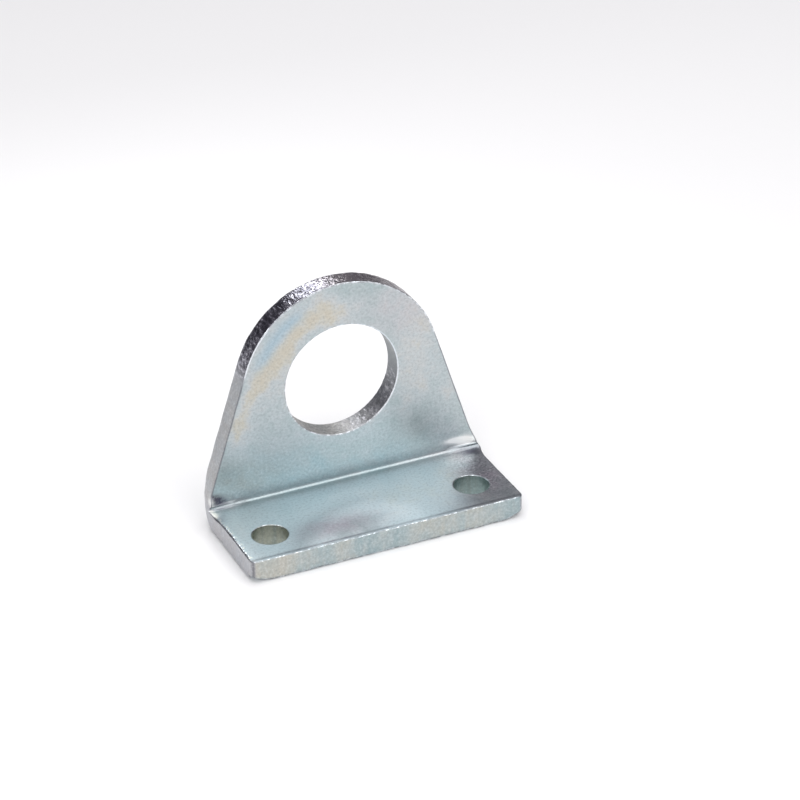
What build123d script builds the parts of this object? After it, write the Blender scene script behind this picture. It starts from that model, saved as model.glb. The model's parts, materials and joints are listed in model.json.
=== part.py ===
"""Foot mount for a small round-line pneumatic cylinder.

One blank of steel plate, sheared to outline, pierced and folded once to a right angle. The short
leg is the base, with two bolt holes. The tall leg carries the bore that the cylinder's threaded
nose passes through.

Frame: X runs along the fold, Y from the base's free edge towards the face that the cylinder
seats on, and Z up. The origin is on the underside of the base, midway between the bolt holes.
All sizes are in millimetres and degrees.
"""

from build123d import *

import math
import os

# Plate and fold
plate_thickness = 4.5
fold_inner_radius = 1.1

# Base leg
base_length = 53.5
bolt_spacing = 40.0
bolt_hole_diameter = 6.6
bolt_line_to_seat_face = 17.0
bolt_line_to_free_edge = 7.7
base_corner_radius = 1.2

# Upright leg
bore_diameter = 22.2
bore_height = 25.0
crown_radius = 19.5
flank_foot_height = 5.9

# Folding squeezes the inner skin, which swells out at both ends of the fold, and stretches the
# outer skin, which draws in. Both die away within a short reach along each leg.
inner_swell = 0.6
outer_draw = 0.4
fold_reach = 5.0

# Edges: the sheared outline is worn round by barrel finishing, the pierced rims are only broken
inner_edge_radius = 0.35
outer_edge_radius = 0.6
bore_rim_break = 0.3
bolt_rim_break = 0.25

# Places that follow from the sizes above
half_length = base_length / 2
seat_face_y = bolt_line_to_seat_face
inner_face_y = seat_face_y - plate_thickness
free_edge_y = -bolt_line_to_free_edge
fold_axis_y = inner_face_y - fold_inner_radius
fold_axis_z = plate_thickness + fold_inner_radius
fold_outer_radius = fold_inner_radius + plate_thickness
flat_base_end_y = fold_axis_y - fold_reach
flat_upright_foot_z = fold_axis_z + fold_reach
crown_top_z = bore_height + crown_radius

# The flank runs straight from the full width at its foot to the crown, which it touches smoothly.
foot_below_bore = bore_height - flank_foot_height
foot_to_bore = math.hypot(half_length, foot_below_bore)
touch_angle = math.acos(crown_radius / foot_to_bore) - math.atan2(foot_below_bore, half_length)
touch_x = crown_radius * math.cos(touch_angle)
touch_z = bore_height + crown_radius * math.sin(touch_angle)
flank_lean = math.tan(touch_angle)
upright_half_width = half_length - flank_lean * (flat_upright_foot_z - flank_foot_height)

# Each leg's own plane lies on its outer skin, starts at the fold and faces the inner skin.
base_plane = Plane(origin=(0, fold_axis_y, 0), x_dir=(-1, 0, 0), z_dir=(0, 0, 1))
upright_plane = Plane(origin=(0, seat_face_y, fold_axis_z), x_dir=(1, 0, 0), z_dir=(0, -1, 0))


def leg_root_outline(plane, width_change, far_half_width, lean):
    """Outline of a leg beside the fold, where the fold's width eases into the leg's own.

    It starts at the fold, width_change wider than the blank on each side, and ends fold_reach away
    at far_half_width, already running along the leg's side, which leans in by lean.
    """
    fold_half_width = half_length + width_change
    handle = fold_reach / 2
    with BuildSketch(plane) as outline:
        with BuildLine():
            right_side = Bezier(
                (fold_half_width, 0),
                (fold_half_width, handle),
                (far_half_width + lean * handle, handle),
                (far_half_width, fold_reach),
            )
            left_side = Bezier(
                (-fold_half_width, 0),
                (-fold_half_width, handle),
                (-far_half_width - lean * handle, handle),
                (-far_half_width, fold_reach),
            )
            Line(right_side @ 1, left_side @ 1)
            Line(left_side @ 0, right_side @ 0)
        make_face()
    return outline.sketch


def fold_middle(radius):
    """Point halfway round the fold, at the given distance from its axis."""
    step = radius * math.sqrt(0.5)
    return (0, fold_axis_y + step, fold_axis_z - step)


def skin_rim(bracket, probes):
    """Edges round one skin of the plate, found by a point on each of the skin's three faces."""
    skin = ShapeList([bracket.faces().sort_by_distance(probe)[0] for probe in probes])
    edges = skin.edges()
    return [edge for edge in edges if edges.count(edge) == 1]


with BuildPart() as foot_bracket:
    # Flat stretch of the base, with the two free corners rounded.
    with BuildSketch(Plane.XY) as base_outline:
        with Locations((0, (free_edge_y + flat_base_end_y) / 2)):
            Rectangle(base_length, flat_base_end_y - free_edge_y)
        fillet(base_outline.vertices().group_by(Axis.Y)[0], base_corner_radius)
    extrude(amount=plate_thickness)

    # Root of the base: drawn in on the underside, swollen on top.
    underside_outline = leg_root_outline(base_plane, -outer_draw, half_length, 0)
    top_outline = leg_root_outline(base_plane.offset(plate_thickness), inner_swell, half_length, 0)
    loft([underside_outline, top_outline], ruled=True)

    # The fold itself: the distorted section of the plate, swept round the fold's axis.
    with BuildSketch(Plane.XZ.offset(-fold_axis_y)):
        with BuildLine():
            Polyline(
                (-half_length + outer_draw, 0),
                (half_length - outer_draw, 0),
                (half_length + inner_swell, plate_thickness),
                (-half_length - inner_swell, plate_thickness),
                close=True,
            )
        make_face()
    revolve(axis=Axis((0, fold_axis_y, fold_axis_z), (1, 0, 0)), revolution_arc=90)

    # Root of the upright: drawn in on the seat's side, swollen on the side that faces the base.
    seat_outline = leg_root_outline(upright_plane, -outer_draw, upright_half_width, flank_lean)
    inner_outline = leg_root_outline(
        upright_plane.offset(plate_thickness), inner_swell, upright_half_width, flank_lean
    )
    loft([seat_outline, inner_outline], ruled=True)

    # Flat stretch of the upright: straight flanks and a round crown concentric with the bore.
    with BuildSketch(Plane.XZ.offset(-seat_face_y)):
        with BuildLine():
            Polyline(
                (-touch_x, touch_z),
                (-upright_half_width, flat_upright_foot_z),
                (upright_half_width, flat_upright_foot_z),
                (touch_x, touch_z),
            )
            ThreePointArc((touch_x, touch_z), (0, crown_top_z), (-touch_x, touch_z))
        make_face()
    extrude(amount=plate_thickness)

    # Both skins are rounded all the way along the sheared edge, the outer one more.
    inner_skin = [
        (0, 0, plate_thickness),
        fold_middle(fold_inner_radius),
        (0, inner_face_y, bore_height),
    ]
    fillet(skin_rim(foot_bracket, inner_skin), inner_edge_radius)
    outer_skin = [
        (0, 0, 0),
        fold_middle(fold_outer_radius),
        (0, seat_face_y, bore_height),
    ]
    fillet(skin_rim(foot_bracket, outer_skin), outer_edge_radius)

    # Pierced holes, with their rims broken on both faces.
    with Locations(Plane.XZ.offset(-inner_face_y)):
        with Locations((0, bore_height)):
            Hole(bore_diameter / 2, depth=plate_thickness)
    bore_rims = foot_bracket.edges(Select.LAST).filter_by(GeomType.CIRCLE)
    chamfer(bore_rims, bore_rim_break)
    with Locations(Plane.XY.offset(plate_thickness)):
        with GridLocations(bolt_spacing, 0, 2, 1):
            Hole(bolt_hole_diameter / 2, depth=plate_thickness)
    bolt_rims = foot_bracket.edges(Select.LAST).filter_by(GeomType.CIRCLE)
    chamfer(bolt_rims, bolt_rim_break)

foot_bracket.part.label = "foot_bracket"
os.makedirs("parts", exist_ok=True)
export_step(foot_bracket.part, "parts/foot_bracket.step")
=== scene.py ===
import json
import math

import bmesh
import bpy
import numpy as np
from mathutils import Matrix, Vector


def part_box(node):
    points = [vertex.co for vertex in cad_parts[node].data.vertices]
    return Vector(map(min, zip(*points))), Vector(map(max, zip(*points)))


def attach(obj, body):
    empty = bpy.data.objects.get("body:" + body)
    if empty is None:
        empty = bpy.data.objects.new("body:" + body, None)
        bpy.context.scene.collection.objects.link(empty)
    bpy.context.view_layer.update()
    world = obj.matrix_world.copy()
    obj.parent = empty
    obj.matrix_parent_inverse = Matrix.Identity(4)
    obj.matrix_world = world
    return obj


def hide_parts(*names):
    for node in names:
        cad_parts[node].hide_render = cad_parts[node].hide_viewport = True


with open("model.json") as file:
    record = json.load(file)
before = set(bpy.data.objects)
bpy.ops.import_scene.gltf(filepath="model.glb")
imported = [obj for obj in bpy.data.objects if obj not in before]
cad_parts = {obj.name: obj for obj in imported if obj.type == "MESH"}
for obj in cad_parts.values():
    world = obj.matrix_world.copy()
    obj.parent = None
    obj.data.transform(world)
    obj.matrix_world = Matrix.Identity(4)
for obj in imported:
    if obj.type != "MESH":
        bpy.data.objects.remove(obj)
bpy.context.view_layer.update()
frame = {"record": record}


# The blank. The foot mount starts as a flat piece of 4.5 mm steel plate, sheared to outline and
# pierced three times. It is drawn flat, in millimetres: u along the fold, v up the plate from the
# fold's lower edge, and w through the plate from its outer skin to its inner one.
mounts = {mount["name"]: mount for mount in frame["record"]["mounts"]}
low_corner, high_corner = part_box("foot_bracket")
MM_PER_METRE = 1000
seat_face_y = high_corner.y * MM_PER_METRE
crown_top_z = high_corner.z * MM_PER_METRE
free_edge_y = low_corner.y * MM_PER_METRE
inner_face_y = mounts["nut_face"]["pos_m"][1] * MM_PER_METRE
bore_height = mounts["cylinder_bore"]["pos_m"][2] * MM_PER_METRE
bore_radius = mounts["cylinder_bore"]["dims"]["r_mm"]
bolt_radius = mounts["base_bolts"]["dims"]["hole_r_mm"]
bolt_reach = mounts["base_bolts"]["dims"]["spacing_x_mm"] / 2
thickness = seat_face_y - inner_face_y
crown_radius = crown_top_z - bore_height
fold_radius = 1.1
half_length = 26.75
corner_radius = 1.2
flank_foot_height = 5.9
fold_reach = 5.0

# Heights on the flat blank. The fold takes up as much plate as its middle layer is long.
fold_axis_y = inner_face_y - fold_radius
fold_axis_z = thickness + fold_radius
fold_length = (fold_radius + thickness / 2) * math.pi / 2
free_edge_v = free_edge_y - fold_axis_y
bolt_v = -fold_axis_y
bore_v = fold_length + bore_height - fold_axis_z
foot_below_bore = bore_height - flank_foot_height
touch_angle = math.acos(crown_radius / math.hypot(half_length, foot_below_bore))
touch_angle -= math.atan2(foot_below_bore, half_length)
flank_lean = math.tan(touch_angle)
root_half_width = half_length - flank_lean * (fold_axis_z + fold_reach - flank_foot_height)

# Edges: a broken rim at each hole, and a rounding along the outline that barrel finishing left
# uneven. The base's left-hand end was rolled over by the shear on its upper side, and knocks have
# worn the underside's two free corners rounder than the rest.
bore_rim = 0.3
bolt_rim = 0.25
inner_round = 0.3
outer_round = 0.6
sheared_roll = 0.5
corner_wear = 1.0
round_unevenness = 0.18
mesh_step = 0.3


def steps_along(length):
    """How many mesh steps a stretch of the given length is cut into."""
    return max(2, round(length / mesh_step))


def straight(start, end):
    """Points along a straight side, with the outward normal in the last two columns."""
    start, end = np.array(start), np.array(end)
    length = np.linalg.norm(end - start)
    share = np.linspace(0, 1, steps_along(length) + 1)[:, None]
    normal = np.array([end[1] - start[1], start[0] - end[0]]) / length
    return np.hstack([start + (end - start) * share, np.tile(normal, (len(share), 1))])


def round_stretch(centre, radius, first, last):
    """Points along an arc that bulges outwards, with the outward normal."""
    angle = np.linspace(first, last, steps_along(radius * abs(last - first)) + 1)
    normal = np.stack([np.cos(angle), np.sin(angle)], axis=1)
    return np.hstack([np.array(centre) + radius * normal, normal])


def easing_root():
    """Points where the full width at the fold eases into the flank, with the outward normal."""
    short_hold, long_hold = 0.8, 3.2
    hold = np.array([
        (half_length, fold_length),
        (half_length, fold_length + short_hold),
        (root_half_width + flank_lean * long_hold, fold_length + fold_reach - long_hold),
        (root_half_width, fold_length + fold_reach),
    ])
    s = np.linspace(0, 1, steps_along(fold_reach) + 1)[:, None]
    point = (1 - s) ** 3 * hold[0] + 3 * s * (1 - s) ** 2 * hold[1]
    point += 3 * s**2 * (1 - s) * hold[2] + s**3 * hold[3]
    pull = (1 - s) ** 2 * (hold[1] - hold[0]) + 2 * s * (1 - s) * (hold[2] - hold[1])
    pull += s**2 * (hold[3] - hold[2])
    normal = np.stack([pull[:, 1], -pull[:, 0]], axis=1)
    return np.hstack([point, normal / np.linalg.norm(normal, axis=1)[:, None]])


def join_stretches(*stretches):
    """One run of points, each stretch giving up its last point to the next one."""
    return np.vstack([stretch[:-1] for stretch in stretches[:-1]] + [stretches[-1]])


corner_u = half_length - corner_radius
corner_v = free_edge_v + corner_radius
touch = (crown_radius * math.cos(touch_angle), bore_v + crown_radius * math.sin(touch_angle))
fold_band_start = -3.5
base_side = join_stretches(
    straight((0, free_edge_v), (corner_u, free_edge_v)),
    round_stretch((corner_u, corner_v), corner_radius, -math.pi / 2, 0),
    straight((half_length, corner_v), (half_length, fold_band_start)),
)
fold_side = join_stretches(
    straight((half_length, fold_band_start), (half_length, fold_length)),
    easing_root(),
)
upright_side = join_stretches(
    straight((root_half_width, fold_length + fold_reach), touch),
    round_stretch((0, bore_v), crown_radius, touch_angle, math.pi / 2),
)


def smooth_step(value, low, high):
    """0 below low, 1 above high, and an even rise between them."""
    share = np.clip((value - low) / (high - low), 0, 1)
    return share * share * (3 - 2 * share)


def unevenness(u, v, phase):
    """A slow wave along the outline, between -1 and 1, that never repeats within the part."""
    return 0.5 * np.sin(0.9 * u + 0.7 * v + phase) + 0.5 * np.sin(1.7 * v - 1.3 * u + 2 * phase)


def inner_rounding(points):
    """How far the rounded edge reaches in from the outline on the inner skin."""
    u, v, faces_left = points[:, 0], points[:, 1], -points[:, 2]
    fades_out = 3.0
    on_left_end = smooth_step(faces_left, 0.7, 1.0) * smooth_step(-v, 0.5, fades_out)
    on_left_end *= smooth_step(v - corner_v, 0.0, fades_out)
    even = inner_round + (sheared_roll - inner_round) * on_left_end
    return even * (1 + round_unevenness * unevenness(u, v, 0.4))


def outer_rounding(points):
    """How far the rounded edge reaches in from the outline on the outer skin."""
    u, v = points[:, 0], points[:, 1]
    from_corner = np.hypot(np.abs(u) - half_length, v - free_edge_v)
    even = outer_round + (corner_wear - outer_round) * (1 - smooth_step(from_corner, 0.3, 4.5))
    return even * (1 + round_unevenness * unevenness(u, v, 2.1))


def mirrored(points):
    """The same stretch on the left-hand side, running the other way, so that both run onward."""
    return (points * np.array([-1, 1, -1, 1]))[::-1]


class Blank:
    """Collects the flat blank's vertices and faces, patch by patch."""

    def __init__(self):
        self.places = []
        self.sheared = []
        self.faces = []
        self.count = 0

    def add_rows(self, rows, sheared, closed):
        """Joins equal rows of points by four-sided faces. sheared is one number for each row."""
        rows = np.array(rows)
        row_count, width = rows.shape[:2]
        first = self.count
        self.places.append(rows.reshape(-1, 3))
        self.sheared.append(np.repeat(np.array(sheared, float), width))
        self.count += row_count * width
        last_column = width if closed else width - 1
        for row in range(row_count - 1):
            for column in range(last_column):
                beside = (column + 1) % width
                self.faces.append((
                    first + row * width + column,
                    first + row * width + beside,
                    first + (row + 1) * width + beside,
                    first + (row + 1) * width + column,
                ))

    def mesh(self, name):
        """A closed mesh, with equal points merged and the normals outward."""
        places = np.vstack(self.places)
        merged, first_use, new_number = np.unique(
            np.round(places, 4), axis=0, return_index=True, return_inverse=True
        )
        new_number = new_number.ravel()
        mesh = bpy.data.meshes.new(name)
        mesh.from_pydata(merged.tolist(), [], [[int(new_number[i]) for i in f] for f in self.faces])
        values = np.concatenate(self.sheared)[first_use]
        mesh.attributes.new("sheared", "FLOAT", "POINT").data.foreach_set("value", values)
        shape = bmesh.new()
        shape.from_mesh(mesh)
        bmesh.ops.recalc_face_normals(shape, faces=shape.faces)
        shape.to_mesh(mesh)
        shape.free()
        return mesh


def raised(points, depth):
    """Flat points at one depth through the plate."""
    return np.hstack([points[:, :2], np.full((len(points), 1), float(depth))])


def drawn_in(points, reach):
    """Points of the outline moved inwards by their own reach."""
    return np.hstack([points[:, :2] - points[:, 2:] * reach[:, None], points[:, 2:]])


def ring_patch(blank, outer_loop, centre, radius, depth, row_count):
    """Fills one skin between a round hole and the loop of points round it."""
    spoke = outer_loop[:, :2] - np.array(centre)
    inner_loop = np.array(centre) + radius * spoke / np.linalg.norm(spoke, axis=1)[:, None]
    beside_hole, beside_edge, crowding = 0.012, 0.985, 1.15
    between = np.linspace(0, 1, row_count + 1)[1:-1] ** crowding
    share = np.concatenate([[0, beside_hole], between, [beside_edge, 1]])
    rows = [raised(inner_loop + (outer_loop[:, :2] - inner_loop) * s, depth) for s in share]
    blank.add_rows(rows, np.zeros(len(rows)), closed=True)
    return inner_loop


def skin(blank, depth, rounding):
    """Lays one skin of the blank and returns the loops that it leaves at the three holes."""
    sides = [base_side, fold_side, upright_side]
    right_base, right_fold, right_upright = [drawn_in(side, rounding(side)) for side in sides]
    turned = [mirrored(side) for side in sides]
    left_base, left_fold, left_upright = [drawn_in(side, rounding(side)) for side in turned]
    share = np.linspace(0, 1, steps_along(half_length) + 1)

    def across(left_point, right_point):
        """Points across the blank from edge to edge, with one of them on the middle line."""
        middle_point = np.array([0, (left_point[1] + right_point[1]) / 2])
        to_middle = left_point[:2] + (middle_point - left_point[:2]) * share[:, None]
        from_middle = middle_point + (right_point[:2] - middle_point) * share[1:, None]
        return np.vstack([to_middle, from_middle])

    borders = [across(left, right) for left, right in zip(left_fold[::-1], right_fold)]
    blank.add_rows([raised(border, depth) for border in borders], np.zeros(len(borders)), False)
    lower_border, upper_border = borders[0], borders[-1]
    middle = len(share) - 1
    spine_steps = steps_along(fold_band_start - free_edge_v)
    spine_v = np.linspace(lower_border[middle, 1], right_base[0, 1], spine_steps + 1)[1:-1, None]
    spine = np.hstack([np.zeros_like(spine_v), spine_v])

    right_loop = np.vstack([right_base[:, :2], lower_border[middle:-1][::-1], spine])
    left_loop = np.vstack([left_base[:, :2], spine[::-1], lower_border[1:middle + 1][::-1]])
    upright_loop = np.vstack([right_upright[:, :2], left_upright[1:, :2], upper_border[1:-1]])
    base_rows, upright_rows = 11, 14
    bolt_rim_radius = bolt_radius + bolt_rim
    return [
        ring_patch(blank, right_loop, (bolt_reach, bolt_v), bolt_rim_radius, depth, base_rows),
        ring_patch(blank, left_loop, (-bolt_reach, bolt_v), bolt_rim_radius, depth, base_rows),
        ring_patch(blank, upright_loop, (0, bore_v), bore_radius + bore_rim, depth, upright_rows),
    ]


# The inner rounding falls half as far as it reaches in, and no deeper than the roll.
roll_slope = 0.5
roll_depth = 0.4
wall_rows = 16
round_rows = 5


def edge_section(inner_reach, outer_reach):
    """The sheared edge from the inner skin to the outer: how far in, how deep, how much sheared.

    It goes round the inner rounding, straight down the wall and round the outer rounding.
    """
    inner_fall = np.minimum(inner_reach * roll_slope, roll_depth)
    section = []
    for step in range(round_rows + 1):
        angle = step / round_rows * math.pi / 2
        section.append((
            inner_reach * (1 - math.sin(angle)),
            thickness - inner_fall * (1 - math.cos(angle)),
            step / round_rows,
        ))
    wall_top = thickness - inner_fall
    for step in range(1, wall_rows):
        section.append((0, wall_top + (outer_reach - wall_top) * step / wall_rows, 1))
    for step in range(round_rows + 1):
        angle = step / round_rows * math.pi / 2
        section.append((
            outer_reach * (1 - math.cos(angle)),
            outer_reach * (1 - math.sin(angle)),
            1 - step / round_rows,
        ))
    return section


def outline_wall(blank):
    """The sheared edge all round the blank."""
    right = join_stretches(base_side, fold_side, upright_side)
    outline = np.vstack([right, mirrored(right)[1:-1]])
    rows, sheared = [], []
    for inward, depth, amount in edge_section(inner_rounding(outline), outer_rounding(outline)):
        place = outline[:, :2] - outline[:, 2:] * np.broadcast_to(inward, len(outline))[:, None]
        rows.append(np.hstack([place, np.broadcast_to(depth, len(outline))[:, None]]))
        sheared.append(amount)
    blank.add_rows(rows, sheared, closed=True)


def hole_wall(blank, centre, radius, rim, inner_loop, outer_loop):
    """The pierced wall of one hole, between the loops that the two skins left at it."""
    centre = np.array(centre)
    inner_ray = (inner_loop - centre) / (radius + rim)
    outer_ray = (outer_loop - centre) / (radius + rim)
    width = np.full(len(inner_loop), rim)
    rows, sheared = [], []
    for inward, depth, amount in edge_section(width, width):
        share = 1 - np.asarray(depth)[:, None] / thickness
        ray = inner_ray + (outer_ray - inner_ray) * share
        ray /= np.linalg.norm(ray, axis=1)[:, None]
        place = centre + ray * (radius + np.broadcast_to(inward, len(ray))[:, None])
        rows.append(np.hstack([place, np.broadcast_to(depth, len(place))[:, None]]))
        sheared.append(amount)
    blank.add_rows(rows, sheared, closed=True)


blank = Blank()
inner_holes = skin(blank, thickness, inner_rounding)
outer_holes = skin(blank, 0, outer_rounding)
outline_wall(blank)
hole_places = [
    ((bolt_reach, bolt_v), bolt_radius, bolt_rim),
    ((-bolt_reach, bolt_v), bolt_radius, bolt_rim),
    ((0, bore_v), bore_radius, bore_rim),
]
for (centre, radius, rim), inner_loop, outer_loop in zip(hole_places, inner_holes, outer_holes):
    hole_wall(blank, centre, radius, rim, inner_loop, outer_loop)
bracket = bpy.data.objects.new("folded_bracket", blank.mesh("folded_bracket"))
bpy.context.scene.collection.objects.link(bracket)


# The fold. A press brake folds the blank once, through a right angle. The squeezed inner skin
# swells out at both ends of the fold and puckers there, the stretched outer skin draws in, and
# shearing leaves the edges torn where the plate gave way. All lengths are in millimetres.
fold_sizes = {
    "Thickness": thickness,
    "Inner radius": fold_radius,
    "Fold length": fold_length,
    "Axis Y": fold_axis_y,
    "Axis Z": fold_axis_z,
    "Half length": half_length,
    "Free edge": free_edge_v,
    "Crown start": touch[1],
    "Bore height": bore_v,
    "Bore radius": bore_radius,
    "Swell": 0.7,
    "Swell reach": 2.4,
    "Draw": 0.6,
    "Draw reach": 3.0,
    "End error": 0.14,
    "Skew": 0.15,
    "Crease": 0.24,
    "Gusset": 0.7,
    "Lip": 0.75,
    "Heel": 0.4,
    "Slump": 0.2,
    "Knock": 0.9,
    "Score depth": 0.012,
    "Tear depth": 0.08,
    "Waver": 0.03,
    "Skin swell": 0.012,
    "Seed": 7.0,
}


class Quantity:
    """A number in a node tree, which adds and multiplies like any other number."""

    def __init__(self, tree, socket):
        self.tree = tree
        self.socket = socket

    def join(self, operation, *others):
        """A Math node on this number and the others."""
        node = self.tree.nodes.new("ShaderNodeMath")
        node.operation = operation
        for entry, value in zip(node.inputs, (self, *others)):
            if isinstance(value, Quantity):
                self.tree.links.new(value.socket, entry)
            else:
                entry.default_value = value
        return Quantity(self.tree, node.outputs[0])

    def __add__(self, other):
        return self.join("ADD", other)

    def __sub__(self, other):
        return self.join("SUBTRACT", other)

    def __rsub__(self, other):
        return self * -1 + other

    def __mul__(self, other):
        return self.join("MULTIPLY", other)

    def __truediv__(self, other):
        return self.join("DIVIDE", other)

    def __neg__(self):
        return self * -1

    def magnitude(self):
        """The number without its sign."""
        return self.join("ABSOLUTE")

    def at_least(self, limit):
        """The number, or the limit where it is less."""
        return self.join("MAXIMUM", limit)

    def at_most(self, limit):
        """The number, or the limit where it is more."""
        return self.join("MINIMUM", limit)

    def decay(self, reach):
        """1 at zero, dying away over the reach above it."""
        return (-(self / reach)).join("EXPONENT")

    def bell(self, centre, width):
        """1 at the centre, dying away smoothly over the width on either side."""
        away = (self - centre) / width
        return (-(away * away)).join("EXPONENT")

    def rise(self, low, high):
        """0 below low, 1 above high, and an even rise between them."""
        node = self.tree.nodes.new("ShaderNodeMapRange")
        node.interpolation_type = "SMOOTHSTEP"
        for name, value in (("Value", self), ("From Min", low), ("From Max", high)):
            if isinstance(value, Quantity):
                self.tree.links.new(value.socket, node.inputs[name])
            else:
                node.inputs[name].default_value = value
        return Quantity(self.tree, node.outputs["Result"])

    def fall(self, low, high):
        """1 below low, 0 above high."""
        return 1.0 - self.rise(low, high)


class Workings:
    """A node tree with short ways to add a node, a place or a noise to it."""

    def __init__(self, tree):
        self.tree = tree
        self.link = tree.links.new

    def add(self, kind, **settings):
        """A new node with the given settings."""
        node = self.tree.nodes.new(kind)
        for name, value in settings.items():
            setattr(node, name, value)
        return node

    def numbers(self, place):
        """The three numbers of a place."""
        parts = self.add("ShaderNodeSeparateXYZ")
        self.link(place, parts.inputs[0])
        return [Quantity(self.tree, output) for output in parts.outputs]

    def placed(self, *numbers):
        """The place, or the shift, that three numbers make."""
        node = self.add("ShaderNodeCombineXYZ")
        for entry, number in zip(node.inputs, numbers):
            self.link(number.socket, entry)
        return node.outputs[0]

    def noise(self, place, scale, detail, roughness=0.5, seed=None):
        """Noise about one half at a place on the flat blank, of its own kind for each seed."""
        node = self.add("ShaderNodeTexNoise")
        if seed:
            node.noise_dimensions = "4D"
            self.link(seed.socket, node.inputs["W"])
        self.link(place, node.inputs["Vector"])
        node.inputs["Scale"].default_value = scale
        node.inputs["Detail"].default_value = detail
        node.inputs["Roughness"].default_value = roughness
        return Quantity(self.tree, node.outputs[0])


class FoldedPlate(Workings):
    """The tree that folds the blank, with its named sizes and a point's place on the flat blank."""

    def __init__(self, tree):
        super().__init__(tree)
        self.given = self.add("NodeGroupInput")
        self.size = {name: Quantity(tree, self.given.outputs[name]) for name in fold_sizes}
        self.flat = self.kept("flat", "FLOAT_VECTOR")
        self.sheared = Quantity(tree, self.kept("sheared", "FLOAT"))
        self.u, self.v, self.w = self.numbers(self.flat)
        self.depth_share = self.w / self.size["Thickness"]
        self.from_end = self.size["Half length"] - self.u.magnitude()

    def kept(self, name, kind):
        """What the mesh keeps under a name at each point."""
        node = self.add("GeometryNodeInputNamedAttribute", data_type=kind)
        node.inputs["Name"].default_value = name
        return node.outputs["Attribute"]

    def unevenness(self, place, scale, detail):
        """Noise between about -1 and 1, from the given seed on."""
        return (self.noise(place, scale, detail, seed=self.size["Seed"]) - 0.5) * 4


def sheared_blank(plate):
    """Where a point of the blank lies once it is squeezed sideways: along the fold and up it."""
    size, u, v, depth_share = plate.size, plate.u, plate.v, plate.depth_share

    # The inner skin swells out, mostly in the base's root, and the outer skin draws in.
    swollen = size["Swell"] * (-v).at_least(0.0).decay(size["Swell reach"])
    swollen = swollen * (v.fall(0.0, size["Fold length"]) * 0.85 + 0.15)
    swollen = swollen * v.fall(size["Fold length"] - 0.3, size["Fold length"] + 3.2)
    drawn = size["Draw"] * v.bell(size["Fold length"], size["Draw reach"])
    widening = swollen * depth_share - drawn * (1.0 - depth_share)
    endness = u.magnitude() / size["Half length"]
    along = u + u.join("SIGN") * widening * endness.rise(0.7, 1.0)

    # The shear's own error: the base's ends lie a little to the right, its free edge runs askew.
    before_upright = v.fall(size["Fold length"], size["Fold length"] + 5.0)
    along = along + size["End error"] * endness.rise(0.85, 1.0) * before_upright
    beside_free_edge = v.fall(size["Free edge"], -5.0)
    up = v - size["Skew"] * u / size["Half length"] * beside_free_edge
    return along, up


def inner_lift(plate):
    """How far the squeezed inner skin stands off a true arc.

    Along the fold it is creased tighter. Towards each end a gusset is drawn across the corner, a
    lip rises on the upright's foot and the base's root slumps. The left end has a heel besides.
    """
    size, u, v, from_end = plate.size, plate.u, plate.v, plate.from_end
    middle = size["Fold length"] / 2
    ripple = plate.unevenness(plate.placed(u, v * 0.3, plate.w * 0.0), 0.55, 3.0)
    crease = size["Crease"] * (ripple * 0.25 + 1.0) * v.bell(middle, 1.5)
    gusset = size["Gusset"] * from_end.fall(1.5, 9.0) * v.bell(middle, 2.2)
    lip = size["Lip"] * from_end.decay(1.7) * v.rise(middle - 0.6, middle + 1.2)
    lip = lip * v.fall(size["Fold length"] + 0.1, size["Fold length"] + 2.2)
    on_left = u.fall(-2.0, 2.0)
    heel = size["Heel"] * from_end.decay(1.6) * v.bell(0.6, 1.5) * on_left
    slump = size["Slump"] * from_end.decay(1.5) * v.bell(-2.0, 1.8)
    return (gusset + lip + heel - crease - slump) * plate.depth_share.rise(0.4, 1.0)


def knocked_corner(plate):
    """How far knocks have worn the underside's free corners upwards."""
    past_edge = plate.v - plate.size["Free edge"]
    from_corner = (plate.from_end * plate.from_end + past_edge * past_edge).join("SQRT")
    lower_share = 1.0 - plate.depth_share
    return plate.size["Knock"] * from_corner.bell(0.0, 2.4) * lower_share * lower_share


def folded_place(plate):
    """Where a point lies after the fold: each layer turns about the axis at its own radius."""
    size = plate.size
    along, up = sheared_blank(plate)
    round_fold = plate.v.at_least(0.0).at_most(size["Fold length"]) / size["Fold length"]
    angle = round_fold * (math.pi / 2)
    radius = size["Inner radius"] + size["Thickness"] - plate.w - inner_lift(plate)
    on_base = up.at_most(0.0)
    on_upright = (plate.v - size["Fold length"]).at_least(0.0)
    y = size["Axis Y"] + on_base + radius * angle.join("SINE")
    z = size["Axis Z"] + on_upright - radius * angle.join("COSINE") + knocked_corner(plate)
    return plate.placed(along, y, z)


def surface_shift(plate):
    """How far the surface stands out from the folded shape.

    On the walls, fine score lines run through the thickness and then the plate tears, most of all
    round the crown and low on the bore's right, where the punch leaves the coarsest break. The
    skins carry the slow swells of hot-rolled plate.
    """
    size, u, v, sheared = plate.size, plate.u, plate.v, plate.sheared
    dv = v - size["Bore height"]
    from_bore = (u * u + dv * dv).join("SQRT")
    past_bore = from_bore.rise(size["Bore radius"] + 2.0, size["Bore radius"] + 3.0)
    crown = v.rise(size["Crown start"] - 1.5, size["Crown start"] + 1.5) * past_bore
    torn_bore = (1.0 - past_bore) * (u - dv).rise(9.0, 14.0)
    torn = crown + torn_bore * 0.6
    through_plate = plate.placed(u, v, plate.w * 0.12)
    scores = plate.unevenness(through_plate, 1.6, 3.0) * size["Score depth"] * (1.0 - torn * 0.5)
    tears = plate.unevenness(plate.flat, 1.5, 4.0) * size["Tear depth"] * (torn * 0.88 + 0.12)
    waver = plate.unevenness(plate.flat, 0.16, 1.0) * size["Waver"]
    swells = plate.unevenness(plate.flat, 0.11, 2.0) * size["Skin swell"]
    return (scores + tears + waver) * sheared + swells * (1.0 - sheared)


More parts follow.
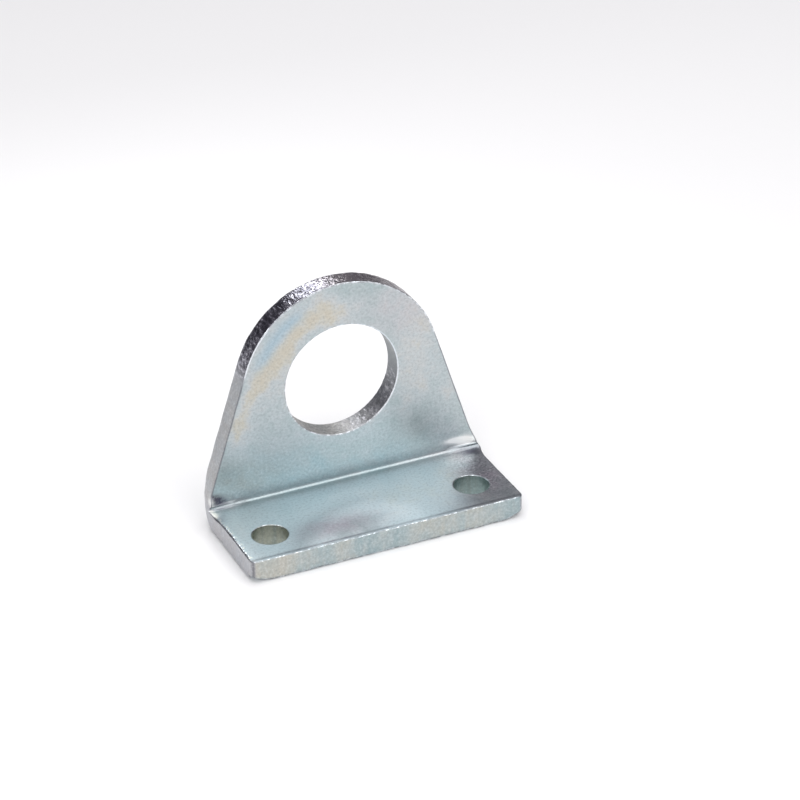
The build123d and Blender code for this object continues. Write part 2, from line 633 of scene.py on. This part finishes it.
def fold_tree(finish):
    """Geometry nodes that fold the flat blank, pucker the fold's ends and tear the sheared edges."""
    tree = bpy.data.node_groups.new("fold_and_shear", "GeometryNodeTree")
    tree.interface.new_socket("Blank", in_out="INPUT", socket_type="NodeSocketGeometry")
    for name, value in fold_sizes.items():
        size = tree.interface.new_socket(name, in_out="INPUT", socket_type="NodeSocketFloat")
        size.default_value = value
    tree.interface.new_socket("Bracket", in_out="OUTPUT", socket_type="NodeSocketGeometry")
    plate = FoldedPlate(tree)
    add, link = plate.add, plate.link

    # The flat place is kept on the bracket, because stains and scratches follow the plate.
    keep_flat = add("GeometryNodeStoreNamedAttribute", data_type="FLOAT_VECTOR", domain="POINT")
    keep_flat.inputs["Name"].default_value = "flat"
    link(plate.given.outputs["Blank"], keep_flat.inputs["Geometry"])
    link(add("GeometryNodeInputPosition").outputs[0], keep_flat.inputs["Value"])

    bend = add("GeometryNodeSetPosition")
    link(keep_flat.outputs[0], bend.inputs["Geometry"])
    link(folded_place(plate), bend.inputs["Position"])

    push = add("ShaderNodeVectorMath", operation="SCALE")
    link(add("GeometryNodeInputNormal").outputs[0], push.inputs[0])
    link(surface_shift(plate).socket, push.inputs["Scale"])
    roughen = add("GeometryNodeSetPosition")
    link(bend.outputs[0], roughen.inputs["Geometry"])
    link(push.outputs[0], roughen.inputs["Offset"])

    in_metres = add("GeometryNodeTransform")
    link(roughen.outputs[0], in_metres.inputs["Geometry"])
    in_metres.inputs["Scale"].default_value = (1 / MM_PER_METRE,) * 3
    smooth = add("GeometryNodeSetShadeSmooth")
    link(in_metres.outputs[0], smooth.inputs["Geometry"])
    real = add("GeometryNodeRealizeInstances")
    link(smooth.outputs[0], real.inputs[0])
    coat = add("GeometryNodeSetMaterial")
    coat.inputs["Material"].default_value = finish
    link(real.outputs[0], coat.inputs["Geometry"])
    result = add("NodeGroupOutput")
    link(coat.outputs[0], result.inputs[0])
    return tree


# The finish. Bright zinc is plated onto the steel and passivated, which leaves a thin clear film:
# bluish where it is thin, straw and mauve where it is thicker. The sheared edges take it unevenly
# and look darker, and handling has rubbed the outer corners bright.
film_colours = (
    (0.05, (0.300, 0.420, 0.440)),
    (0.26, (0.370, 0.465, 0.485)),
    (0.42, (0.430, 0.500, 0.510)),
    (0.55, (0.500, 0.555, 0.570)),
    (0.66, (0.555, 0.580, 0.580)),
    (0.80, (0.575, 0.560, 0.495)),
    (0.95, (0.580, 0.545, 0.460)),
)
wall_film_colours = (
    (0.30, (0.33, 0.42, 0.44)),
    (0.44, (0.39, 0.46, 0.47)),
    (0.56, (0.45, 0.49, 0.48)),
    (0.67, (0.475, 0.49, 0.455)),
    (0.80, (0.51, 0.50, 0.45)),
)
torn_steel_colours = (
    (0.38, (0.07, 0.07, 0.09)),
    (0.50, (0.15, 0.15, 0.18)),
    (0.57, (0.34, 0.34, 0.39)),
    (0.64, (0.80, 0.80, 0.86)),
)
thin_film_blue = (0.39, 0.51, 0.58)
# Paler plating on the base, also lightened there as painted light.
base_tint_and_painted_light = (0.66, 0.76, 0.81)
# Mauve tint with painted dark reflection, for the base top.
mauve_stain_and_dark_reflection = (0.37, 0.34, 0.39)
crown_haze = (0.53, 0.51, 0.53)
foot_dinge = (0.36, 0.38, 0.36)
dark_speck = (0.20, 0.22, 0.25)
bright_speck = (0.80, 0.83, 0.86)
# Painted highlights: a pale sheen and cream glints on the base's left end.
painted_sheen_pale = (0.72, 0.77, 0.78)
painted_glint_cream = (0.94, 0.94, 0.88)
# Near-white colour for the painted highlights at the fold's ends.
painted_highlight_white = (0.97, 0.99, 0.97)
# Dark colour for painted shade in the fold's creases, its end pit and hollow, and along the free
# edge.
painted_crease_dark = (0.09, 0.09, 0.12)
end_wall_grey = (0.46, 0.45, 0.50)
flank_wall_grey = (0.39, 0.39, 0.42)
# Dark colour for the painted shade line at the base ends' front corners.
corner_painted_shade = (0.12, 0.12, 0.14)
left_bolt_olive = (0.49, 0.51, 0.43)
right_bolt_teal = (0.38, 0.48, 0.47)
bolt_score = (0.30, 0.36, 0.34)
bore_grey = (0.49, 0.47, 0.45)
bore_shade = (0.30, 0.32, 0.33)
wall_dark_speck = (0.20, 0.21, 0.23)
wall_bright_speck = (0.74, 0.77, 0.78)
right_crown_grey = (0.54, 0.50, 0.51)
rubbed_rim = (0.84, 0.88, 0.92)
# Dark colour for the painted shade along rims that are not rubbed bright.
painted_rim_shade = (0.14, 0.15, 0.17)


class PlatedSteel(Workings):
    """The material's tree, with what the finish goes by at each point of the plate."""

    def __init__(self, tree):
        super().__init__(tree)
        self.flat = self.kept("flat").outputs["Vector"]
        self.sheared = Quantity(tree, self.kept("sheared").outputs["Fac"])
        self.u, self.v, self.w = self.numbers(self.flat)
        u, v, w = self.u, self.v, self.w

        # Where a point lies: on the skin that faces the base, in the bore, in a bolt hole, on the
        # wall of the crown, of a flank or of the base's end.
        self.inner_side = w.rise(1.6, 3.2)
        self.from_end = half_length - u.magnitude()
        self.above_bore = v - bore_v
        self.from_bore = self.distance(u, self.above_bore)
        self.in_bore = self.from_bore.fall(bore_radius + 2.0, bore_radius + 3.0)
        self.low_right = u - self.above_bore
        from_bolt = self.distance(u.magnitude() - bolt_reach, v - bolt_v)
        self.in_bolt = from_bolt.fall(bolt_radius + 1.0, bolt_radius + 1.5)
        self.on_crown = self.from_bore.rise(bore_radius + 2.0, bore_radius + 3.0)
        self.on_crown = self.on_crown * v.rise(touch[1] - 4.0, touch[1] + 1.0)
        self.on_flank = v.rise(1.0, 3.0) * v.fall(touch[1] - 3.0, touch[1] + 1.0)
        self.on_flank = self.on_flank * (1.0 - self.in_bore)
        self.on_end = self.from_end.fall(0.3, 1.0) * v.fall(4.0, 8.0)

        # Where the plating is coarse: the torn walls, the bore's lower half, the base's right end.
        torn_bore = self.in_bore * self.low_right.rise(10.0, 14.5) * 0.5
        self.torn = self.sheared * (self.on_crown + torn_bore)
        self.coarse = self.in_bore * self.above_bore.fall(-6.0, 1.0)
        self.grainy = self.spot(24.0, -8.0, 4.0, 8.0)

        # Patterns: cloudy patches, plating specks, streaks through the plate, and tears.
        self.mottle = self.noise(self.flat, 0.38, 5.0, 0.65) - 0.5
        self.speckle = self.noise(self.flat, 2.0, 4.0, 0.75)
        self.through_plate = self.placed(u, v, w * 0.12)
        self.streaky = self.noise(self.through_plate, 1.1, 4.0, 0.7) - 0.5
        self.tear = self.noise(self.placed(u, v, w * 0.4), 1.5, 5.0, 0.78)

    def kept(self, name):
        """What the mesh keeps under a name at each point."""
        return self.add("ShaderNodeAttribute", attribute_name=name)

    def distance(self, du, dv):
        """Straight distance on the flat plate."""
        return (du * du + dv * dv).join("SQRT")

    def spot(self, u0, v0, u_reach, v_reach):
        """1 at a place on the plate, dying away round it."""
        return self.u.bell(u0, u_reach) * self.v.bell(v0, v_reach)

    def ramp(self, value, stops):
        """The colour at a value between the stops."""
        node = self.add("ShaderNodeValToRGB")
        self.link(value.socket, node.inputs[0])
        bar = node.color_ramp
        while len(bar.elements) > 1:
            bar.elements.remove(bar.elements[-1])
        bar.elements[0].position, bar.elements[0].color = stops[0][0], (*stops[0][1], 1)
        for position, colour in stops[1:]:
            bar.elements.new(position).color = (*colour, 1)
        return node.outputs[0]

    def blended(self, share, first, second):
        """The first colour turned into the second by the share."""
        node = self.add("ShaderNodeMix", data_type="RGBA")
        self.link(share.socket, node.inputs["Factor"])
        for entry, value in ((node.inputs[6], first), (node.inputs[7], second)):
            if isinstance(value, tuple):
                entry.default_value = (*value, 1)
            else:
                self.link(value, entry)
        return node.outputs[2]


def film_colour(steel):
    """The film's colour by its thickness, with the bath's drain marks.

    A straw streak runs round the bore's upper left and down beside the flank, with a thin bluish
    band outside it.
    """
    spot, mottle = steel.spot, steel.mottle
    turn = (-steel.u).join("ARCTAN2", steel.above_bore)
    from_streak = steel.from_bore - (turn.rise(1.05, 2.1) * 8.0 + 14.3)
    streak = from_streak.bell(0.0, turn.fall(0.1, 0.7) * 1.5 + 1.8)
    streak = streak * turn.rise(-0.15, 0.15) * turn.fall(1.7, 2.2) * steel.inner_side
    blue_band = from_streak.bell(2.6, 1.3) * turn.rise(0.3, 0.6) * turn.fall(1.0, 1.4)

    patches = steel.noise(steel.flat, 0.085, 2.0, 0.4) - 0.5
    film = patches * 0.5 + mottle * 0.55 + 0.54
    film = film + streak * (mottle * 1.5 + 1.0) * 0.30
    straw_over_bore = spot(-1.5, bore_v + 14.2, 5.0, 2.4)
    blue_crown = spot(4.0, bore_v + 17.0, 9.0, 2.5)
    straw_flank = spot(16.0, bore_v + 1.0, 3.5, 9.0)
    film = film + straw_over_bore * 0.16 - blue_crown * 0.12 + straw_flank * 0.10
    left_foot = spot(-21.0, 8.5, 8.0, 5.0) * (mottle * 4.0 + 1.0)
    upright_foot = spot(0.0, 7.5, 24.0, 6.5)
    dark_patch = spot(13.5, 10.2, 4.0, 3.0) * (mottle * 5.0 - 0.8)
    round_dark_patch = spot(11.0, 10.5, 3.5, 3.0)
    film = film - left_foot * 0.22 - upright_foot * 0.24 - dark_patch * 0.09
    film = film - round_dark_patch * 0.06
    right_of_base = spot(7.0, -9.0, 7.0, 3.5)
    base_root = spot(0.0, -1.5, 30.0, 2.2)
    left_corner = spot(-25.0, -17.5, 5.0, 4.0)
    film = film + right_of_base * 0.16 - base_root * 0.05 + left_corner * 0.12
    colour = steel.ramp(film, film_colours)
    return steel.blended(blue_band * steel.inner_side * 0.9, colour, thin_film_blue)


def stains_and_painted_light(steel, colour):
    """The skins' stains, painted light and painted dark reflections on the base, and the light and
    dark specks of the plating.
    """
    spot, mottle, speckle = steel.spot, steel.mottle, steel.speckle
    # The base gets paler, bluer plating, lightened further as painted light standing in for the light
    # falling on its top.
    on_base = steel.v.fall(-2.0, 0.5) * steel.u.fall(15.0, 21.0)
    on_base = on_base * (1.0 - spot(-7.0, -15.0, 8.0, 4.0) * 0.8)
    colour = steel.blended(on_base * 0.6, colour, base_tint_and_painted_light)
    # Mauve patches on the base top, darkened as painted reflection of the dark upright and room; the
    # right-hand one darkens the base's right end.
    mauve_and_reflection = spot(-8.0, -13.8, 6.5, 2.8) + spot(23.5, -9.0, 4.0, 8.0)
    colour = steel.blended(mauve_and_reflection * (mottle * 2.0 + 0.9) * 0.85, colour, mauve_stain_and_dark_reflection)
    haze = spot(12.0, bore_v + 12.0, 7.0, 5.0) * (mottle * 2.0 + 1.0) * steel.inner_side
    colour = steel.blended(haze * 0.5, colour, crown_haze)
    dinge = spot(-20.0, 8.0, 7.0, 4.0) * (mottle * 4.0 + 0.8)
    colour = steel.blended(dinge * 0.55, colour, foot_dinge)
    sparkle = steel.grainy * 0.6 + 0.24
    colour = steel.blended(speckle.rise(0.50, 0.64) * sparkle * 1.15, colour, dark_speck)
    return steel.blended(speckle.fall(0.36, 0.50) * sparkle * 0.8, colour, bright_speck)


def painted_edge_highlights(steel, colour):
    """Painted highlights on the base's left end: a paler sheen along its rolled edge, and a cream
    patch and dots standing in for glints of light there.
    """
    u, v = steel.u, steel.v
    sheen = u.bell(-24.6, 1.5) * v.fall(-3.0, -1.0) * v.rise(-16.0, -9.0) * steel.inner_side
    colour = steel.blended(sheen * 0.3, colour, painted_sheen_pale)
    glint_patch = steel.spot(-26.2, -0.6, 0.9, 1.5) * (steel.mottle * 5.0 + 0.9)
    glint_dots = steel.noise(steel.flat, 1.4, 2.0).rise(0.52, 0.58) * u.fall(-26.1, -25.6)
    glint_dots = glint_dots * v.fall(-1.0, 0.0)
    glints = (glint_patch + glint_dots * 0.7) * steel.inner_side
    return steel.blended(glints.at_most(1.0), colour, painted_glint_cream)


def painted_crease_shade(steel, colour):
    """Painted shade in the creases of the fold, at its ends and along the free edge: dark colour
    standing in for shadow and dark reflections there.
    """
    u, v, from_end = steel.u, steel.v, steel.from_end
    on_left, on_right = u.fall(-2.0, 2.0), u.rise(-2.0, 2.0)
    above_crease = v.rise(3.0, 3.8) * v.fall(5.0, 7.4) * 0.28
    below_crease = v.fall(1.5, 2.2) * v.rise(-1.0, 0.3) * 0.2
    facets = v.bell(fold_length / 2, 2.2) * from_end.fall(2.0, 9.0) * 0.28
    free_edge_line = (v - free_edge_v).bell(0.8, 0.3) * 0.5
    long_lines = above_crease + facets + below_crease + free_edge_line
    pit_height = v + from_end * 0.3 - fold_length - 0.9
    pit = from_end.fall(1.3, 4.4) * pit_height.bell(0.0, 1.1) * on_left
    pit = pit * (1.9 - (steel.speckle + steel.mottle).rise(0.30, 0.62) * 1.4)
    hollow = from_end.bell(2.0, 2.2) * v.bell(-0.9, 1.1) * on_right * 0.9
    under_facet = steel.spot(-24.7, 0.5, 1.5, 0.45) * 0.6
    painted_shade = long_lines * (steel.mottle * 2.5 + 1.0) + pit + hollow + under_facet
    return steel.blended((painted_shade * steel.inner_side).at_most(1.0), colour, painted_crease_dark)


def wall_colour(steel):
    """The sheared and pierced walls.

    Tinted streaks run across the thickness, olive and teal in the bolt holes, and the torn steel
    of the crown and the bore's lower right is dark with bright flecks.
    """
    u, v, in_bore, speckle, blended = steel.u, steel.v, steel.in_bore, steel.speckle, steel.blended
    streaks = steel.noise(steel.through_plate, 0.13, 3.0) + steel.streaky * 0.35
    streaks = streaks + steel.mottle * 0.5 - u * 0.0035
    wall = steel.ramp(streaks, wall_film_colours)
    wall = blended(steel.on_end * 0.6, wall, end_wall_grey)
    wall = blended(v.rise(3.0, 8.0) * (1.0 - in_bore) * 0.6, wall, flank_wall_grey)
    # A dark line painted down the base ends' front corners as shade.
    corner_line = steel.from_end.bell(0.35, 0.3) * (v - free_edge_v).bell(0.35, 0.5)
    wall = blended(corner_line * 0.7, wall, corner_painted_shade)
    bolt_wall = blended(u.rise(-3.0, 3.0), left_bolt_olive, right_bolt_teal)
    bolt_wall = blended(steel.streaky.rise(-0.08, 0.12) * 0.6, bolt_wall, bolt_score)
    wall = blended(steel.in_bolt * 0.9, wall, bolt_wall)
    wall = blended(in_bore * 0.7, wall, bore_grey)
    wall = blended(in_bore * u.rise(4.0, 9.0) * streaks.rise(0.3, 0.6), wall, bore_shade)
    fine = 0.3 - in_bore * 0.2
    dark_share = speckle.rise(0.48, 0.66) * (steel.coarse * 0.5 + fine)
    wall = blended(dark_share, wall, wall_dark_speck)
    bright_share = speckle.fall(0.34, 0.50) * (steel.coarse * 0.35 + fine)
    wall = blended(bright_share, wall, wall_bright_speck)
    torn_steel = steel.ramp(steel.tear, torn_steel_colours)
    right_of_crown = u.rise(-6.0, 3.0) * steel.on_crown
    torn_steel = blended(right_of_crown * 0.65, torn_steel, right_crown_grey)
    return blended(steel.torn, wall, torn_steel)


def painted_fold_highlights(steel):
    """Painted highlights where the fold's ends bulge: a white flare on the right, a bright knob on
    the left.
    """
    flare = (steel.spot(24.7, 5.9, 1.8, 0.8) + steel.spot(22.6, 6.4, 1.8, 0.5)) * 1.6
    knob = steel.spot(-26.5, 5.4, 0.6, 0.9) * steel.w.rise(2.6, 4.0)
    knob = knob * (steel.streaky.rise(-0.1, 0.1) * 0.4 + 0.6)
    return (flare * steel.inner_side + knob).at_most(1.0)


def rim_shares(steel):
    """How much of a rim is rubbed bright here, and how much is painted dark as shade along the edge.
    """
    rim = steel.sheared * (1.0 - steel.sheared) * 4.0
    rubbed = steel.noise(steel.flat, 1.1, 3.0, 0.65).rise(0.47, 0.60) * (1.0 - steel.on_flank)
    left_of_crown = steel.u.bell(-17.0, 3.0) * steel.on_crown
    right_of_bore = steel.u.rise(5.0, 9.0) * steel.in_bore
    worn = steel.in_bore * 0.4 + steel.on_crown * 0.4 + left_of_crown + right_of_bore * 0.5
    rubbed = (rubbed + worn).at_most(1.0)
    rim_shade = steel.on_end * 0.3 + steel.on_flank * 0.2 + 0.5
    return rim * rubbed, rim * (1.0 - rubbed) * rim_shade


def surface_height(steel):
    """Height in millimetres: grain and a few scratches on the skins, scores and tears on walls."""
    u, v, sheared, torn = steel.u, steel.v, steel.sheared, steel.torn
    grain = steel.noise(steel.flat, 1.7, 5.0, 0.72)
    along_scratch = steel.placed(u * 0.9 + v * 0.5, u * -0.02 + v * 0.05, steel.w * 0.05)
    scratches = steel.noise(along_scratch, 4.5, 2.0).rise(0.66, 0.74)
    scratches = scratches * steel.noise(steel.flat, 0.12, 1.0).rise(0.5, 0.65)
    skin_height = grain * (steel.grainy * 0.03 + 0.012) - scratches * 0.003
    score_lines = steel.noise(steel.through_plate, 1.6, 3.0)
    flecks = steel.noise(steel.flat, 2.3, 2.0)
    wall_height = score_lines * 0.010 + grain * (steel.coarse * 0.020 + 0.010)
    wall_height = wall_height + steel.tear * torn * 0.05 + flecks * torn * 0.10
    return skin_height * (1.0 - sheared) + wall_height * sheared


def zinc_finish():
    """The plated steel's material."""
    material = bpy.data.materials.new("zinc_plated_steel")
    material.use_nodes = True
    material.node_tree.nodes.clear()
    steel = PlatedSteel(material.node_tree)
    add, link, blended = steel.add, steel.link, steel.blended
    bright_share, rim_shade_share = rim_shares(steel)

    # The skin colour carries painted light: painted shade in the fold's creases, painted highlights
    # on the base's left end, painted light and reflection on the base.
    skin_colour = painted_crease_shade(steel, painted_edge_highlights(steel, stains_and_painted_light(steel, film_colour(steel))))
    colour = blended(steel.sheared, skin_colour, wall_colour(steel))
    # Painted highlights: near-white flare and knob where the fold's ends bulge.
    colour = blended(painted_fold_highlights(steel), colour, painted_highlight_white)
    colour = blended(bright_share * (steel.v.rise(0.0, 2.0) * 0.35 + 0.6), colour, rubbed_rim)
    # Painted shade: the rest of each rim is darkened.
    colour = blended(rim_shade_share, colour, painted_rim_shade)
    rough = steel.mottle * 0.25 + 0.37 + steel.sheared * (steel.in_bore * 0.16 + 0.02)
    rough = rough - steel.torn * 0.16 - bright_share * 0.14

    bump = add("ShaderNodeBump")
    bump.inputs["Strength"].default_value = 1.0
    bump.inputs["Distance"].default_value = 1 / MM_PER_METRE
    link(surface_height(steel).socket, bump.inputs["Height"])
    shader = add("ShaderNodeBsdfPrincipled")
    shader.inputs["Metallic"].default_value = 1.0
    link(colour, shader.inputs["Base Color"])
    link(rough.socket, shader.inputs["Roughness"])
    link(bump.outputs[0], shader.inputs["Normal"])
    result = add("ShaderNodeOutputMaterial")
    link(shader.outputs[0], result.inputs[0])
    return material


tree = fold_tree(zinc_finish())
modifier = bracket.modifiers.new("fold_and_shear", "NODES")
modifier.node_group = tree
for item in tree.interface.items_tree:
    if item.in_out == "INPUT" and item.name in fold_sizes:
        modifier[item.identifier] = fold_sizes[item.name]
bpy.context.view_layer.update()
graph = bpy.context.evaluated_depsgraph_get()
folded = bpy.data.meshes.new_from_object(
    bracket.evaluated_get(graph), preserve_all_data_layers=True, depsgraph=graph
)
bracket.modifiers.remove(modifier)
bracket.data = folded
folded.name = "folded_bracket"
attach(bracket, "root")
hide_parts("foot_bracket")


# The table. A plain, pale, matt sheet that the bracket stands on. It reaches far past the picture
# on every side, so that no edge of it comes near the bracket.
table_reach = 4.0
table_corners = [
    (-table_reach, -table_reach, 0),
    (table_reach, -table_reach, 0),
    (table_reach, table_reach, 0),
    (-table_reach, table_reach, 0),
]
floor_mesh = bpy.data.meshes.new("table")
floor_mesh.from_pydata(table_corners, [], [(0, 1, 2, 3)])
floor = bpy.data.objects.new("table", floor_mesh)
bpy.context.scene.collection.objects.link(floor)
paper = bpy.data.materials.new("pale_table")
paper.use_nodes = True
surface = paper.node_tree.nodes["Principled BSDF"]
surface.inputs["Base Color"].default_value = (0.86, 0.86, 0.86, 1)
surface.inputs["Roughness"].default_value = 0.9
surface.inputs["Specular IOR Level"].default_value = 0.1
floor_mesh.materials.append(paper)


# The light. Large soft boxes stand over the bracket, before it and to its left, in a grey room. A
# small one close behind it puts the bright patch on the crown.
def soft_box(name, place, aim, width, height, watts):
    """A rectangular lamp at a place, facing the aim point. Places in metres."""
    lamp = bpy.data.lights.new(name, "AREA")
    lamp.shape = "RECTANGLE"
    lamp.size, lamp.size_y = width, height
    lamp.energy = watts
    box = bpy.data.objects.new(name, lamp)
    box.location = place
    box.rotation_euler = (Vector(aim) - Vector(place)).to_track_quat("-Z", "Y").to_euler()
    bpy.context.scene.collection.objects.link(box)


soft_box("overhead", (0.0, -0.1, 0.8), (0, -0.1, 0), 1.2, 1.1, 7.2)
soft_box("front", (0.42, -1.05, 0.66), (0, 0, 0.02), 1.3, 0.8, 5.7)
soft_box("left", (-0.85, -0.75, 0.66), (0, 0, 0.02), 0.9, 0.75, 7.0)
soft_box("back_strip", (0.009, 0.139, 0.128), (-0.005, 0.015, 0.042), 0.040, 0.030, 0.052)
world = bpy.data.worlds.new("room")
bpy.context.scene.world = world
world.use_nodes = True
world.node_tree.nodes["Background"].inputs["Color"].default_value = (0.205, 0.195, 0.215, 1)
world.node_tree.nodes["Background"].inputs["Strength"].default_value = 1.0


# The camera. A long lens about half a metre away, 29 degrees up and 25 degrees to the left. It aims
# a little to the right of the bracket's heel and above it.
azimuth = math.radians(-24.66)
elevation = math.radians(29.19)
roll = math.radians(-0.62)
distance = 0.51466
lens_in_pixels = 2754
image_pixels = 800
film_width = 36.0
aim_right = 0.01217
aim_up = 0.01623
back = Vector((
    math.sin(azimuth) * math.cos(elevation),
    -math.cos(azimuth) * math.cos(elevation),
    math.sin(elevation),
))
right = Vector((math.cos(azimuth), math.sin(azimuth), 0))
up = back.cross(right)
rolled_right = right * math.cos(roll) + up * math.sin(roll)
rolled_up = up * math.cos(roll) - right * math.sin(roll)
heel = Vector((0, seat_face_y / MM_PER_METRE, 0))
aim = heel + rolled_right * aim_right + rolled_up * aim_up
camera_data = bpy.data.cameras.new("camera")
camera_data.sensor_width = film_width
camera_data.lens = lens_in_pixels * film_width / image_pixels
camera_data.clip_start = 0.01
camera = bpy.data.objects.new("camera", camera_data)
turn = Matrix((rolled_right, rolled_up, back)).transposed().to_4x4()
camera.matrix_world = Matrix.Translation(aim + back * distance) @ turn
bpy.context.scene.collection.objects.link(camera)
bpy.context.scene.camera = camera
bpy.context.scene.view_settings.view_transform = "Standard"
